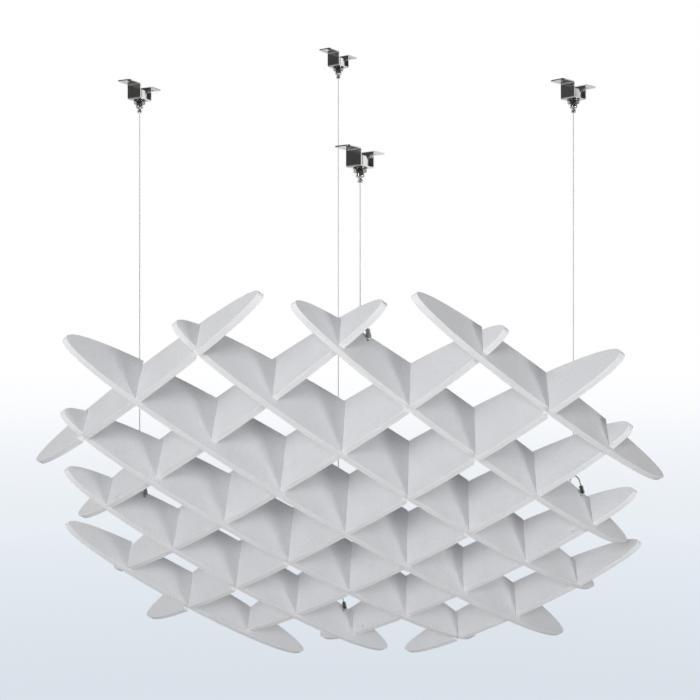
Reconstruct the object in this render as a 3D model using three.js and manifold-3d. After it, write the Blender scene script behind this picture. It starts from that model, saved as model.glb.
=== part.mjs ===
// Hanging lattice panel of interlocking felt fins on four wires.
// Units are millimetres, +Z is up. The panel is hung at a slope and faces -Y.
// Origin: the ceiling face of the near bracket's left flange.
//
// Two families of lens-shaped felt fins cross at right angles and slide into
// each other at half-lap slots. A screw link goes through a hole near the top
// edge of four of the fins, a wire runs plumb from each link up through a
// cable gripper, and the gripper's stud is nutted into a hat-shaped bracket.

import * as THREE from 'three';
import { mergeVertices } from 'three/addons/utils/BufferGeometryUtils.js';
import Module from 'manifold-3d';

const wasm = await Module();
wasm.setup();

// ---------------------------------------------------------------- sizes

const RUNNING_GAP = 0.3; // between pieces that rest on or pass through each other

// lattice
const FELT = 12; // felt board thickness
const PITCH = 160; // fin to fin, in both families
const SLOT_PLAY = 0.3; // each side of the crossing fin
const FINS_PER_FAMILY = 7;
const MIDDLE = (FINS_PER_FAMILY + 1) / 2;
// from the outermost fin to the middle one
const HALF_LENGTH = [315, 421, 530, 631];
const HALF_DEPTH = [38, 49.5, 60, 66];
// how far each fin sits above the lattice plane, and its rise per millimetre
const RISE = {
  a: [2, 2, 1.5, -1, -1, -3, 0],
  b: [-4, 13, 5, -1, -0.5, 4.5, 8.5],
};
const SLOPE = {
  a: [-0.001, -0.0315, 0.0025, -0.002, 0.008, -0.0275, -0.0365],
  b: [-0.004, -0.019, -0.001, 0, -0.0025, 0.007, -0.02],
};
const END_MARGIN = 20; // least felt left beyond a slot

// how the lattice hangs
const SPIN = 40.55; // degrees about its own normal
const TILT = 41.7; // degrees, front edge up
const LEAN = 4.45; // degrees, right side down

// hanging holes in the second fin from each edge
const HOLE_RADIUS = 3.2;
const HOLE_TO_EDGE = 9; // hole centre to the felt's edge
// hole centre to the crossing outside it
const HOLE_INSET = { near: 54, right: 33, far: 34.5, left: 70.5 };
const HOLE_INSET_SPARE = 40; // the unused holes of the other family

// screw link
const LINK_WIRE_RADIUS = 1.5;
const LINK_LEAN = 10; // degrees, towards plumb, that the bar tips in its hole
const LINK_HEIGHT = 39; // bar centre to crown centre
const LINK_CORNER = 2.5;
const LINK_ARCH = 13; // height of the crown's arch
const LINK_ARCH_POWER = 1.7; // 2 is an ellipse, less is more pointed
const LINK_FELT_REACH = 12; // how far up the link the felt's edge comes
const LINK_GAP_LOW = 6; // the open part of the front leg
const LINK_GAP = 5;
const SLEEVE_RADIUS = 4; // across corners
const SLEEVE_LENGTH = 14.5;
const SLEEVE_LOW = 2.6; // sleeve's lower end above the bar

// wire and its eye
const WIRE_RADIUS = 0.9;
const EYE_RADIUS = 3.2;
const STRAND_GAP = 2.4; // between the strand centres in the ferrule
const FERRULE_LENGTH = 11;
const FERRULE_RISE = 8; // ferrule's lower end above the link's crown
const FERRULE_WALL = 1.1;
const WIRE_TAIL = 2.7; // wire standing out of the stud

// link crown to the underside of the bracket's plate
const DROP = { near: 247, right: 699, far: 1138, left: 738 };

// gripper
const STUD_RADIUS = 5;
const STUD_BORE = 1.7;
const STUD_STAND_OUT = 2;
const BODY_RADIUS = 7.75;
const BODY_LENGTH = 8.3;
const BODY_BEVEL = 2.5;
const BODY_FLOOR = 1.5;
const FLOOR_BORE = 2.7;
const CONE_LOW = 3.4; // radii of the jaw's cone
const CONE_HIGH = 4.3;
const CONE_LENGTH = 8;
const CONE_HEADROOM = 4;
const JAW_BORE = 1.3;
const JAW_LENGTH = 5.4;
const PLUNGER_STEM = 2.35;
const PLUNGER_HEAD_LENGTH = 1;
const PLUNGER_TRAVEL = 1.5;
const KNOB_RADIUS = 4.6;
const KNOB_LENGTH = 6;
const KNOB_BEVEL = 1.2;

// nuts and washer
const WASHER_RADIUS = 12;
const WASHER_THICKNESS = 2;
const NUT_FLATS = 19; // across the flats
const NUT_HEIGHT = 5.5;
const LONG_NUT_HEIGHT = 17; // the nut above the plate

// bracket
const STRIP = 2; // steel thickness
const STRIP_WIDTH = 30;
const PLATE_LENGTH = 38;
const WEB_HEIGHT = 30;
const FLANGE_LENGTH = 34;
const BRACKET_TURN = { near: 54.5, right: 44, far: 55.5, left: 65 }; // degrees, each screwed up as it comes
const SCREW_SLOT_LENGTH = 14;
const SCREW_SLOT_WIDTH = 6.5;
const SCREW_SLOT_OUT = 18; // slot centre beyond the web
const TIP_BEVEL = 3;

// ------------------------------------------------------------ materials

const felt = new THREE.MeshStandardMaterial({ color: 0xe4e5e8, roughness: 0.95, metalness: 0 });
const brightSteel = new THREE.MeshStandardMaterial({ color: 0xb9b9b6, roughness: 0.35, metalness: 0.9 });
const darkSteel = new THREE.MeshStandardMaterial({ color: 0x5b5a57, roughness: 0.4, metalness: 0.9 });
const wireSteel = new THREE.MeshStandardMaterial({ color: 0xa9abad, roughness: 0.45, metalness: 0.8 });

// -------------------------------------------------------------- helpers

/** Drops everything but the positions and makes the faces point out. */
function closed(geometry) {
  let g = geometry;
  g.deleteAttribute('normal');
  g.deleteAttribute('uv');
  g = mergeVertices(g, 1e-4);
  const p = g.attributes.position;
  const index = g.index.array;
  const v = (i) => new THREE.Vector3().fromBufferAttribute(p, i);
  let volume = 0;
  for (let i = 0; i < index.length; i += 3) {
    volume += v(index[i]).dot(v(index[i + 1]).cross(v(index[i + 2])));
  }
  if (volume < 0) {
    for (let i = 0; i < index.length; i += 3) {
      [index[i], index[i + 1]] = [index[i + 1], index[i]];
    }
  }
  return g;
}

function toSolid(geometry) {
  const g = closed(geometry);
  return new wasm.Manifold(new wasm.Mesh({
    numProp: 3,
    vertProperties: new Float32Array(g.attributes.position.array),
    triVerts: new Uint32Array(g.index.array),
  }));
}

function fromSolid(solid) {
  const mesh = solid.getMesh();
  const g = new THREE.BufferGeometry();
  g.setAttribute('position', new THREE.BufferAttribute(mesh.vertProperties, 3));
  g.setIndex(new THREE.BufferAttribute(mesh.triVerts, 1));
  return g;
}

function named(name, geometry, material) {
  const mesh = new THREE.Mesh(geometry, material);
  mesh.name = name;
  return mesh;
}

/** A regular polygon's corners, the first at angle `start`. */
function polygon(radius, sides, start = 0) {
  return Array.from({ length: sides }, (_, i) => {
    const angle = start + (2 * Math.PI * i) / sides;
    return new THREE.Vector2(radius * Math.cos(angle), radius * Math.sin(angle));
  });
}

/** An outline with round holes, extruded up from z = 0. */
function plate(outline, thickness, holes = []) {
  const shape = new THREE.Shape(outline);
  for (const h of holes) {
    shape.holes.push(new THREE.Path(polygon(h.radius, h.sides ?? 20).map((q) => q.add(new THREE.Vector2(h.x ?? 0, h.y ?? 0)))));
  }
  return new THREE.ExtrudeGeometry(shape, { depth: thickness, bevelEnabled: false });
}

/** A closed profile of [radius, height] turned about the Z axis. */
function turned(profile, sides = 20) {
  const points = profile.concat([profile[0]]).map(([r, z]) => new THREE.Vector2(r, z));
  return closed(new THREE.LatheGeometry(points, sides).rotateX(Math.PI / 2));
}

/** A route through given points, with one tube ring at each of them. */
class Route extends THREE.Curve {
  constructor(points) {
    super();
    this.points = points;
  }

  getPointAt(t, target = new THREE.Vector3()) {
    return target.copy(this.points[Math.round(t * (this.points.length - 1))]);
  }

  getSpacedPoints() {
    return this.points;
  }

  getTangentAt(t, target = new THREE.Vector3()) {
    const last = this.points.length - 1;
    const i = Math.round(t * last);
    const before = this.points[Math.max(i - 1, 0)];
    const after = this.points[Math.min(i + 1, last)];
    const at = this.points[i];
    const into = i === 0 ? after.clone().sub(at) : at.clone().sub(before);
    const out = i === last ? into.clone() : after.clone().sub(at);
    return target.copy(into.normalize()).add(out.normalize()).normalize();
  }
}

function tube(points, radius, sides) {
  return closed(new THREE.ExtrudeGeometry(new THREE.Shape(polygon(radius, sides)), {
    extrudePath: new Route(points),
    steps: points.length - 1,
    bevelEnabled: false,
  }));
}

// -------------------------------------------------------------- lattice

const family = (letter) => Array.from({ length: FINS_PER_FAMILY }, (_, i) => {
  const fromEdge = MIDDLE - 1 - Math.abs(i + 1 - MIDDLE);
  return {
    name: `fin_${letter}${i + 1}`,
    place: (i + 1 - MIDDLE) * PITCH,
    halfLength: HALF_LENGTH[fromEdge],
    halfDepth: HALF_DEPTH[fromEdge],
    rise: RISE[letter][i],
    slope: SLOPE[letter][i],
  };
});

/** Height of a fin's upper (side 1) or lower (side -1) edge at s along it. */
function edge(fin, s, side) {
  const reach = Math.max(0, 1 - (s / fin.halfLength) ** 2);
  return fin.rise + fin.slope * s + side * fin.halfDepth * Math.sqrt(reach);
}

/** The height at which two crossing fins meet, half way through their overlap. */
function lapHeight(finA, finB) {
  const low = Math.max(edge(finA, finB.place, -1), edge(finB, finA.place, -1));
  const high = Math.min(edge(finA, finB.place, 1), edge(finB, finA.place, 1));
  return (low + high) / 2;
}

const reaches = (fin, s) => Math.abs(s) + FELT / 2 + END_MARGIN < fin.halfLength;
const crosses = (finA, finB) => reaches(finA, finB.place) && reaches(finB, finA.place);

/** One edge of a fin from left to right, with the crossing fins' slots in it. */
function slottedEdge(fin, side, slots) {
  const halfWidth = FELT / 2 + SLOT_PLAY;
  const steps = 30;
  const points = [];
  const stations = [];
  for (let i = 1; i < steps; i += 1) {
    stations.push({ s: -fin.halfLength * Math.cos((Math.PI * i) / steps) });
  }
  for (const slot of slots) stations.push({ s: slot.s, slot });
  stations.sort((p, q) => p.s - q.s);
  for (const { s, slot } of stations) {
    if (slot) {
      const left = s - halfWidth;
      const right = s + halfWidth;
      points.push(new THREE.Vector2(left, edge(fin, left, side)));
      points.push(new THREE.Vector2(left, slot.height));
      points.push(new THREE.Vector2(right, slot.height));
      points.push(new THREE.Vector2(right, edge(fin, right, side)));
    } else if (slots.every((q) => Math.abs(q.s - s) > halfWidth + 1)) {
      points.push(new THREE.Vector2(s, edge(fin, s, side)));
    }
  }
  return points;
}

function finGeometry(fin, slotSide, slots, holes) {
  const tip = (end) => new THREE.Vector2(end * fin.halfLength, edge(fin, end * fin.halfLength, 1));
  const outline = [
    tip(-1),
    ...slottedEdge(fin, -1, slotSide < 0 ? slots : []),
    tip(1),
    ...slottedEdge(fin, 1, slotSide > 0 ? slots : []).reverse(),
  ];
  const geometry = plate(outline, FELT, holes.map((h) => ({ ...h, radius: HOLE_RADIUS, sides: 12 })));
  return closed(geometry.translate(0, 0, -FELT / 2));
}

const finsA = family('a');
const finsB = family('b');
const hungFins = [finsA[1], finsA[FINS_PER_FAMILY - 2]];
const spareFins = [finsB[1], finsB[FINS_PER_FAMILY - 2]];
const crossingOut = finsB[1].place; // the crossing just outside a hanging hole
/** A hole's centre, `inset` from the crossing at the fin's left (-1) or right (1) end. */
const holeIn = (fin, end, inset, side) => {
  const s = end * (Math.abs(crossingOut) - inset);
  return { x: s, y: edge(fin, s, side) - side * HOLE_TO_EDGE };
};
// the fin that each wire holds, and which end of it
const suspensions = { near: [0, -1], right: [0, 1], far: [1, 1], left: [1, -1] };
const hangingHole = (name) => holeIn(hungFins[suspensions[name][0]], suspensions[name][1], HOLE_INSET[name], 1);
const hangingHoles = (fin) => Object.keys(suspensions).filter((name) => hungFins[suspensions[name][0]] === fin).map(hangingHole);
const spareHoles = (fin) => [-1, 1].map((end) => holeIn(fin, end, HOLE_INSET_SPARE, -1));

const lattice = new THREE.Group();
// family a runs along the lattice's X, family b along its Y
const alongX = new THREE.Matrix4().makeBasis(new THREE.Vector3(1, 0, 0), new THREE.Vector3(0, 0, 1), new THREE.Vector3(0, -1, 0));
const alongY = new THREE.Matrix4().makeBasis(new THREE.Vector3(0, 1, 0), new THREE.Vector3(0, 0, 1), new THREE.Vector3(1, 0, 0));
for (const fin of finsA) {
  const slots = finsB.filter((other) => crosses(fin, other)).map((other) => ({
    s: other.place,
    height: lapHeight(fin, other) - RUNNING_GAP / 2,
  }));
  const mesh = named(fin.name, finGeometry(fin, 1, slots, hungFins.includes(fin) ? hangingHoles(fin) : []), felt);
  mesh.quaternion.setFromRotationMatrix(alongX);
  mesh.position.y = fin.place;
  lattice.add(mesh);
}
for (const fin of finsB) {
  const slots = finsA.filter((other) => crosses(other, fin)).map((other) => ({
    s: other.place,
    height: lapHeight(other, fin) + RUNNING_GAP / 2,
  }));
  const mesh = named(fin.name, finGeometry(fin, -1, slots, spareFins.includes(fin) ? spareHoles(fin) : []), felt);
  mesh.quaternion.setFromRotationMatrix(alongY);
  mesh.position.x = fin.place;
  lattice.add(mesh);
}
const degrees = THREE.MathUtils.degToRad;
const hang = new THREE.Matrix4().makeRotationY(degrees(LEAN))
  .multiply(new THREE.Matrix4().makeRotationX(degrees(-TILT)))
  .multiply(new THREE.Matrix4().makeRotationZ(degrees(SPIN)));
lattice.quaternion.setFromRotationMatrix(hang);

// ----------------------------------------------------------- screw link

// The link swings about its hole until it points as nearly up as it can,
// and its bar tips in the hole a little further.
const lean = degrees(LINK_LEAN);
const holeAxis = new THREE.Vector3(0, 1, 0).transformDirection(hang);
const swungUp = new THREE.Vector3(0, 0, 1).addScaledVector(holeAxis, -holeAxis.z).normalize();
const linkUp = swungUp.clone().multiplyScalar(Math.cos(lean)).addScaledVector(holeAxis, -Math.sin(lean));
const linkBar = holeAxis.clone().multiplyScalar(Math.cos(lean)).addScaledVector(swungUp, Math.sin(lean));
const linkFrame = new THREE.Matrix4().makeBasis(linkBar.clone().cross(linkUp), linkBar, linkUp);

const FRONT_LEG = -(FELT / 2 + RUNNING_GAP + SLEEVE_RADIUS); // clears the sleeve
const BACK_LEG = (FELT / 2 + RUNNING_GAP + LINK_WIRE_RADIUS) / Math.cos(lean) + LINK_FELT_REACH * Math.tan(lean);
const CROWN = (FRONT_LEG + BACK_LEG) / 2;
const ARCH_LOW = LINK_HEIGHT - LINK_ARCH;
// bar against the hole's upper side
const BAR_LIFT = HOLE_RADIUS - RUNNING_GAP - LINK_WIRE_RADIUS / Math.cos(lean) - (FELT / 2) * Math.tan(lean);

/** The link's centre line in its own frame: y along the hole, z up the link. */
function linkPoints() {
  const at = (y, z) => new THREE.Vector3(0, y, z);
  const corner = (cy, start) => [0, 1, 2, 3, 4].map((i) => {
    const angle = degrees(start + 22.5 * i);
    return at(cy + LINK_CORNER * Math.cos(angle), LINK_CORNER + LINK_CORNER * Math.sin(angle));
  });
  const arch = Array.from({ length: 13 }, (_, i) => {
    const angle = (Math.PI * i) / 12;
    const bulge = (value) => Math.sign(value) * Math.abs(value) ** (2 / LINK_ARCH_POWER);
    return at(
      CROWN + ((BACK_LEG - FRONT_LEG) / 2) * bulge(Math.cos(angle)),
      ARCH_LOW + LINK_ARCH * bulge(Math.sin(angle)),
    );
  });
  return [
    at(FRONT_LEG, LINK_GAP_LOW),
    ...corner(FRONT_LEG + LINK_CORNER, 180),
    ...corner(BACK_LEG - LINK_CORNER, 270),
    ...arch,
    at(FRONT_LEG, LINK_GAP_LOW + LINK_GAP),
  ];
}

function sleeveGeometry() {
  return closed(plate(polygon(SLEEVE_RADIUS, 6), SLEEVE_LENGTH, [{ radius: LINK_WIRE_RADIUS + RUNNING_GAP, sides: 12 }])
    .translate(0, FRONT_LEG, SLEEVE_LOW));
}

// --------------------------------------------------------- hanging wire

// The eye stands square to the link's crown, seen from above.
const eyeSide = new THREE.Vector3(-holeAxis.y, holeAxis.x, 0).normalize();

/** The wire in its own frame: z = 0 at the link's crown, x towards the eye. */
function wirePoints(top) {
  const at = (x, z) => new THREE.Vector3(x, 0, z);
  const middle = STRAND_GAP / 2;
  const loop = Array.from({ length: 13 }, (_, i) => {
    const angle = degrees(160 + (220 * i) / 12);
    return at(middle + EYE_RADIUS * Math.cos(angle), EYE_RADIUS * Math.sin(angle));
  });
  const lower = FERRULE_RISE;
  return [
    at(0, top), at(0, (top + lower) / 2), at(0, lower),
    ...loop,
    at(STRAND_GAP, lower), at(STRAND_GAP, lower + FERRULE_LENGTH - 1),
  ];
}

/** A rounded slot outline, `length` between its end centres along X. */
function stadium(length, radius, cx = 0, cy = 0) {
  const arc = (centre, start) => Array.from({ length: 7 }, (_, i) => {
    const angle = degrees(start + 30 * i);
    return new THREE.Vector2(cx + centre + radius * Math.cos(angle), cy + radius * Math.sin(angle));
  });
  return [...arc(length / 2, -90), ...arc(-length / 2, 90)];
}

function ferruleGeometry() {
  const bore = WIRE_RADIUS + RUNNING_GAP;
  const shape = new THREE.Shape(stadium(STRAND_GAP, bore + FERRULE_WALL, STRAND_GAP / 2));
  shape.holes.push(new THREE.Path(stadium(STRAND_GAP, bore, STRAND_GAP / 2)));
  return closed(new THREE.ExtrudeGeometry(shape, { depth: FERRULE_LENGTH, bevelEnabled: false })
    .translate(0, 0, FERRULE_RISE));
}

// -------------------------------------------- gripper, nuts and bracket
// Heights here are above the underside of the bracket's plate.

const WASHER_TOP = -RUNNING_GAP;
const LOWER_NUT_TOP = WASHER_TOP - WASHER_THICKNESS - RUNNING_GAP;
const BODY_TOP = LOWER_NUT_TOP - NUT_HEIGHT - RUNNING_GAP;
const BODY_LOW = BODY_TOP - BODY_LENGTH;
const UPPER_NUT_LOW = STRIP + RUNNING_GAP;
const STUD_TOP = UPPER_NUT_LOW + LONG_NUT_HEIGHT + STUD_STAND_OUT;
const CAVITY_LOW = BODY_LOW + BODY_FLOOR;
const CAVITY_TOP = CAVITY_LOW + CONE_LENGTH + CONE_HEADROOM;
const HEAD_LOW = CAVITY_LOW + RUNNING_GAP;
const JAW_LOW = HEAD_LOW + PLUNGER_HEAD_LENGTH + RUNNING_GAP;
const KNOB_TOP = BODY_LOW - PLUNGER_TRAVEL - RUNNING_GAP;
const coneRadius = (z) => CONE_LOW + ((CONE_HIGH - CONE_LOW) * (z - CAVITY_LOW)) / CONE_LENGTH;

const gripperBody = () => turned([
  [STUD_RADIUS, STUD_TOP],
  [STUD_RADIUS, BODY_TOP],
  [BODY_RADIUS, BODY_TOP],
  [BODY_RADIUS, BODY_LOW + BODY_BEVEL],
  [BODY_RADIUS - BODY_BEVEL, BODY_LOW],
  [FLOOR_BORE, BODY_LOW],
  [FLOOR_BORE, CAVITY_LOW],
  [CONE_LOW, CAVITY_LOW],
  [CONE_HIGH, CAVITY_LOW + CONE_LENGTH],
  [CONE_HIGH, CAVITY_TOP],
  [STUD_BORE, CAVITY_TOP],
  [STUD_BORE, STUD_TOP],
]);

const jaw = () => turned([
  [JAW_BORE, JAW_LOW],
  [coneRadius(JAW_LOW) - RUNNING_GAP, JAW_LOW],
  [coneRadius(JAW_LOW + JAW_LENGTH) - RUNNING_GAP, JAW_LOW + JAW_LENGTH],
  [JAW_BORE, JAW_LOW + JAW_LENGTH],
]);

const plunger = () => turned([
  [JAW_BORE, HEAD_LOW + PLUNGER_HEAD_LENGTH],
  [JAW_BORE, KNOB_TOP - KNOB_LENGTH],
  [KNOB_RADIUS - KNOB_BEVEL, KNOB_TOP - KNOB_LENGTH],
  [KNOB_RADIUS, KNOB_TOP - KNOB_LENGTH + KNOB_BEVEL],
  [KNOB_RADIUS, KNOB_TOP],
  [PLUNGER_STEM, KNOB_TOP],
  [PLUNGER_STEM, HEAD_LOW],
  [CONE_LOW - RUNNING_GAP, HEAD_LOW],
  [CONE_LOW - RUNNING_GAP, HEAD_LOW + PLUNGER_HEAD_LENGTH],
]);

const studHole = { radius: STUD_RADIUS + RUNNING_GAP };
const nut = (low, height) => closed(plate(polygon(NUT_FLATS / Math.sqrt(3), 6), height, [studHole])
  .translate(0, 0, low));
const washer = () => closed(plate(polygon(WASHER_RADIUS, 24), WASHER_THICKNESS, [studHole])
  .translate(0, 0, WASHER_TOP - WASHER_THICKNESS));

/** An outline in X and Y as a tall cutter through the whole bracket. */
function cutter(outline) {
  return toSolid(plate(outline, 3 * WEB_HEIGHT).translate(0, 0, -WEB_HEIGHT));
}

function bracketGeometry() {
  const out = PLATE_LENGTH / 2;
  const tip = out + FLANGE_LENGTH;
  const side = [
    [-tip, WEB_HEIGHT - STRIP], [-out, WEB_HEIGHT - STRIP], [-out, 0],
    [out, 0], [out, WEB_HEIGHT - STRIP], [tip, WEB_HEIGHT - STRIP],
    [tip, WEB_HEIGHT], [out - STRIP, WEB_HEIGHT], [out - STRIP, STRIP],
    [STRIP - out, STRIP], [STRIP - out, WEB_HEIGHT], [-tip, WEB_HEIGHT],
  ].map(([x, z]) => new THREE.Vector2(x, z));
  let solid = toSolid(plate(side, STRIP_WIDTH).translate(0, 0, -STRIP_WIDTH / 2).rotateX(Math.PI / 2));
  solid = solid.subtract(cutter(polygon(STUD_RADIUS + RUNNING_GAP, 20)));
  const half = STRIP_WIDTH / 2;
  for (const end of [-1, 1]) {
    const slot = stadium(SCREW_SLOT_LENGTH - SCREW_SLOT_WIDTH, SCREW_SLOT_WIDTH / 2, end * (out + SCREW_SLOT_OUT));
    solid = solid.subtract(cutter(slot));
    for (const y of [-1, 1]) {
      solid = solid.subtract(cutter([
        new THREE.Vector2(end * (tip - TIP_BEVEL - 1), y * (half + 1)),
        new THREE.Vector2(end * (tip + 1), y * (half + 1)),
        new THREE.Vector2(end * (tip + 1), y * (half - TIP_BEVEL - 1)),
      ]));
    }
  }
  return fromSolid(solid);
}

// ------------------------------------------------------------- assembly

const object = new THREE.Group();
object.add(lattice);

const flangeFace = new THREE.Vector3(-PLATE_LENGTH / 2 - SCREW_SLOT_OUT / 3, 0, WEB_HEIGHT);
let origin;

for (const [name, [finIndex]] of Object.entries(suspensions)) {
  const hole = hangingHole(name);
  const centre = new THREE.Vector3(hole.x, hungFins[finIndex].place, hole.y).applyMatrix4(hang);

  const link = new THREE.Group();
  link.quaternion.setFromRotationMatrix(linkFrame);
  link.position.copy(centre).addScaledVector(swungUp, BAR_LIFT);
  link.add(named(`link_${name}`, tube(linkPoints(), LINK_WIRE_RADIUS, 8), brightSteel));
  link.add(named(`sleeve_${name}`, sleeveGeometry(), darkSteel));
  object.add(link);

  const crown = link.position.clone()
    .addScaledVector(linkUp, LINK_HEIGHT)
    .addScaledVector(linkBar, CROWN);
  const wire = new THREE.Group();
  wire.position.copy(crown).addScaledVector(eyeSide, -STRAND_GAP / 2);
  wire.rotation.z = Math.atan2(eyeSide.y, eyeSide.x);
  wire.add(named(`wire_${name}`, tube(wirePoints(DROP[name] + STUD_TOP + WIRE_TAIL), WIRE_RADIUS, 6), wireSteel));
  wire.add(named(`ferrule_${name}`, ferruleGeometry(), brightSteel));
  object.add(wire);

  const head = new THREE.Group();
  head.position.copy(wire.position).setZ(crown.z + DROP[name]);
  head.rotation.z = degrees(BRACKET_TURN[name]);
  head.add(named(`bracket_${name}`, bracketGeometry(), brightSteel));
  head.add(named(`washer_${name}`, washer(), darkSteel));
  head.add(named(`lower_nut_${name}`, nut(LOWER_NUT_TOP - NUT_HEIGHT, NUT_HEIGHT), darkSteel));
  head.add(named(`upper_nut_${name}`, nut(UPPER_NUT_LOW, LONG_NUT_HEIGHT), brightSteel));
  head.add(named(`gripper_${name}`, gripperBody(), brightSteel));
  head.add(named(`jaw_${name}`, jaw(), darkSteel));
  head.add(named(`plunger_${name}`, plunger(), brightSteel));
  object.add(head);

  if (name === 'near') {
    origin = flangeFace.clone().applyEuler(head.rotation).add(head.position);
  }
}
object.position.copy(origin).negate();

const part = new THREE.Group();
part.name = 'hanging_lattice_panel';
part.add(object);

export default part;
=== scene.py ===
import math

import bpy
import bmesh
from mathutils import Matrix, Vector
from mathutils.geometry import tessellate_polygon


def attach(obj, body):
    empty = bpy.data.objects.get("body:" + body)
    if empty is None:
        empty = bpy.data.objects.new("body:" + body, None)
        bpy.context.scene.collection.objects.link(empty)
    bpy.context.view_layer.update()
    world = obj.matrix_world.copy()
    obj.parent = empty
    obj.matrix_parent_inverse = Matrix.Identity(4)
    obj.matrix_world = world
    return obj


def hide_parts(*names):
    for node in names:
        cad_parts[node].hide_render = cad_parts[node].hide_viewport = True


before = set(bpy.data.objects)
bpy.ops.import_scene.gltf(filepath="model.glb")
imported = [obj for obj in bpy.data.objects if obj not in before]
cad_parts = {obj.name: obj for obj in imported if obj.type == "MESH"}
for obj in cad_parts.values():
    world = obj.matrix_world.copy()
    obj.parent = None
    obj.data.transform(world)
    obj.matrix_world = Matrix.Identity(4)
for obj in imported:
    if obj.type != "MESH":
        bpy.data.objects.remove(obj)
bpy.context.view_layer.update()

# Looks of a hanging lattice of slotted felt fins on four wires.
# Shapes are worked out in millimetres, each in the frame of its own group,
# from the same named sizes as the solids, and placed in metres.

MM = 0.001

# ------------------------------------------------------------------ sizes

RUNNING_GAP = 0.3

FELT = 12.0
PITCH = 160.0
SLOT_PLAY = 0.1  # felt closes round the crossing fin
RIM = 0.45  # the cut's softened corner
EDGE_STEPS = 120  # points along one curved edge
FINS_PER_FAMILY = 7
MIDDLE = (FINS_PER_FAMILY + 1) / 2
HALF_LENGTH = (315, 421, 530, 631)
HALF_DEPTH = (38, 49.5, 60, 66)
RISE = {  # of each fin's middle above the lattice's own plane
    "a": (2, 2, 1.5, -1, -1, -3, 0),
    "b": (-4, 13, 5, -1, -0.5, 4.5, 8.5),
}
SLOPE = {  # of each fin's middle line
    "a": (-0.001, -0.0315, 0.0025, -0.002, 0.008, -0.0275, -0.0365),
    "b": (-0.004, -0.019, -0.001, 0, -0.0025, 0.007, -0.02),
}
END_MARGIN = 20  # what a fin needs past its last crossing
SPIN, TILT, LEAN = 40.55, 41.7, 4.45  # degrees

HOLE_RADIUS = 3.2
HOLE_TO_EDGE = 9
# from the outermost crossing towards the middle
HOLE_INSET = {"near": 54, "right": 33, "far": 34.5, "left": 70.5}
HOLE_INSET_SPARE = 40

LINK_WIRE_RADIUS = 1.5
LINK_LEAN = math.radians(10)
LINK_HEIGHT = 39
LINK_CORNER = 2.5
LINK_ARCH, LINK_ARCH_POWER = 13, 1.7
LINK_FELT_REACH = 12  # how far up the link the felt's edge comes
LINK_GAP_LOW, LINK_GAP = 6, 5
LINK_THREAD = 12  # threaded length above the gap
LINK_THREAD_PITCH, LINK_THREAD_DEPTH = 0.7, 0.22
SLEEVE_RADIUS, SLEEVE_LENGTH, SLEEVE_LOW = 4, 14.5, 2.6
SLEEVE_FLATS = SLEEVE_RADIUS * math.sqrt(3)

WIRE_RADIUS = 0.9
WIRE_LAY = 7  # length of one turn of the strands
WIRE_STEP = WIRE_LAY / 9
STRAND_VALLEY = 0.95  # radius between two strands, as a share of the wire's
EYE_RADIUS = 3.2
STRAND_GAP = 2.4
FERRULE_LENGTH, FERRULE_RISE, FERRULE_WALL = 11, 8, 1.1
FERRULE_FLATTEN = 2.2  # how soon the oval's flat sides begin
CRIMPS_AT = (0.28, 0.72)  # shares of the ferrule's length
CRIMP_HALF_WIDTH, CRIMP_DEPTH, CRIMP_BULGE = 1.15, 0.22, 0.03
FERRULE_ROUND, FERRULE_ROUND_REACH = 0.45, 0.6
WIRE_TAIL = 2.7
# from the link's crown to the underside of the bracket's plate
DROP = {"near": 247, "right": 699, "far": 1138, "left": 738}

STUD_RADIUS, STUD_BORE, STUD_STAND_OUT = 5, 1.7, 2
STUD_PITCH, STUD_THREAD_DEPTH = 1.5, 0.45
BODY_RADIUS, BODY_LENGTH, BODY_BEVEL, BODY_FLOOR = 7.75, 8.3, 2.5, 1.5
FLOOR_BORE = 2.7
CONE_LOW, CONE_HIGH, CONE_LENGTH, CONE_HEADROOM = 3.4, 4.3, 8, 4
JAW_BORE, JAW_LENGTH = 1.3, 5.4
PLUNGER_STEM, PLUNGER_HEAD_LENGTH, PLUNGER_TRAVEL = 2.35, 1, 1.5
KNOB_RADIUS, KNOB_LENGTH, KNOB_BEVEL = 4.6, 6, 1.2
KNURL_RIDGES, KNURL_DEPTH, KNURL_RUN_OUT = 24, 0.18, 0.4
WASHER_RADIUS, WASHER_THICKNESS = 12, 2
NUT_FLATS, NUT_HEIGHT, LONG_NUT_HEIGHT = 19, 5.5, 17
NUT_FACE, SLEEVE_FACE = 0.985, 0.97  # chamfered end's radius over half the flats

STRIP, STRIP_WIDTH, PLATE_LENGTH, WEB_HEIGHT, FLANGE_LENGTH = 2, 30, 38, 30, 34
BEND_RADIUS = 2.5  # of the strip's middle
BEND_STEPS = 10
STRIP_EDGE_ROUND = 0.25
BRACKET_TURN = {"near": 54.5, "right": 44, "far": 55.5, "left": 65}  # degrees
SCREW_SLOT_LENGTH, SCREW_SLOT_WIDTH, SCREW_SLOT_OUT = 14, 6.5, 18
TIP_ROUND = 4  # radius of the flanges' corners

ARC_STEP = 14  # degrees between the points of a rounded corner
SHARP = 30  # degrees; a blunter edge between two faces is shaded smooth
SAME = 1e-6  # two radii closer than this are one

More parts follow.
